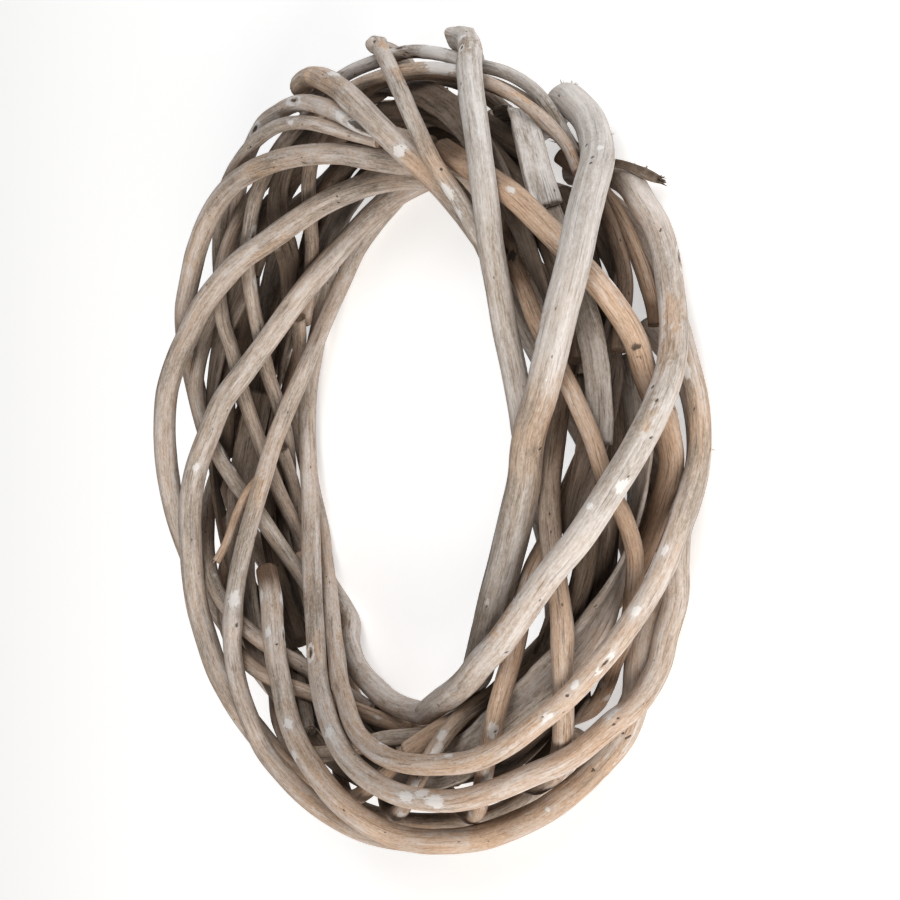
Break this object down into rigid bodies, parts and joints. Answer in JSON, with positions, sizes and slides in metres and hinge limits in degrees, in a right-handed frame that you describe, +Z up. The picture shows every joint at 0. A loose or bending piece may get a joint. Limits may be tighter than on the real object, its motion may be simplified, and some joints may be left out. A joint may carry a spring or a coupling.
{
  "type": "rattan wreath",
  "caption": "Round wreath of loosely wound whitewashed rattan rods over thinner tan and grey rods and flat split splints, open in the middle.",
  "frame": {"origin": "centre of the wreath's bounding box in plan, on the surface that it lies on", "axes": "+Z up out of the front of the wreath, +Y towards its top as hung, +X to its right seen from the front"},
  "size_m": [0.3, 0.2986, 0.0677],
  "materials": {
    "whitewashed_rod": "matt, thinly whitewashed peeled rattan",
    "tan_rod": "matt, bare orange-tan rattan",
    "grey_rod": "matt, weathered grey-brown rattan",
    "core_cane": "matt, rough split rattan with a straight grain"
  },
  "bodies": {
    "root": {"thick_rod_a": "whitewashed_rod", "thick_rod_b": "whitewashed_rod", "thick_rod_c": "whitewashed_rod", "thick_rod_d": "whitewashed_rod", "thick_rod_e": "whitewashed_rod", "thick_rod_f": "whitewashed_rod", "thick_rod_g": "whitewashed_rod", "thick_rod_h": "whitewashed_rod", "thick_rod_i": "whitewashed_rod", "thick_rod_j": "whitewashed_rod", "thick_rod_k": "whitewashed_rod", "thick_rod_l": "whitewashed_rod", "thick_rod_m": "whitewashed_rod", "thick_rod_n": "whitewashed_rod", "thin_rod_a": "tan_rod", "thin_rod_b": "grey_rod", "thin_rod_c": "grey_rod", "thin_rod_d": "tan_rod", "thin_rod_e": "grey_rod", "thin_rod_f": "tan_rod", "thin_rod_g": "grey_rod", "thin_rod_h": "tan_rod", "thin_rod_i": "grey_rod", "thin_rod_j": "grey_rod", "thin_rod_k": "tan_rod", "thin_rod_l": "grey_rod", "thin_rod_m": "tan_rod", "edge_cane_a": "grey_rod", "edge_cane_b": "tan_rod", "slim_cane_a": "tan_rod", "slim_cane_b": "grey_rod", "slim_cane_c": "tan_rod", "cut_stub": "grey_rod", "broken_twig": "core_cane", "core_rod_a": "core_cane", "core_rod_b": "core_cane", "core_rod_c": "core_cane", "core_rod_d": "core_cane", "core_rod_e": "core_cane", "core_rod_f": "core_cane", "core_rod_g": "core_cane", "core_rod_h": "core_cane", "core_splint_a": "core_cane", "core_splint_b": "core_cane", "core_splint_c": "core_cane", "core_splint_d": "core_cane", "core_splint_e": "core_cane", "core_splint_f": "core_cane", "core_splint_g": "core_cane", "core_splint_h": "core_cane", "core_splint_i": "core_cane", "core_splint_j": "core_cane", "core_splint_k": "core_cane", "core_splint_l": "core_cane", "core_splint_m": "core_cane", "core_splint_n": "core_cane"}
  },
  "joints": []
}
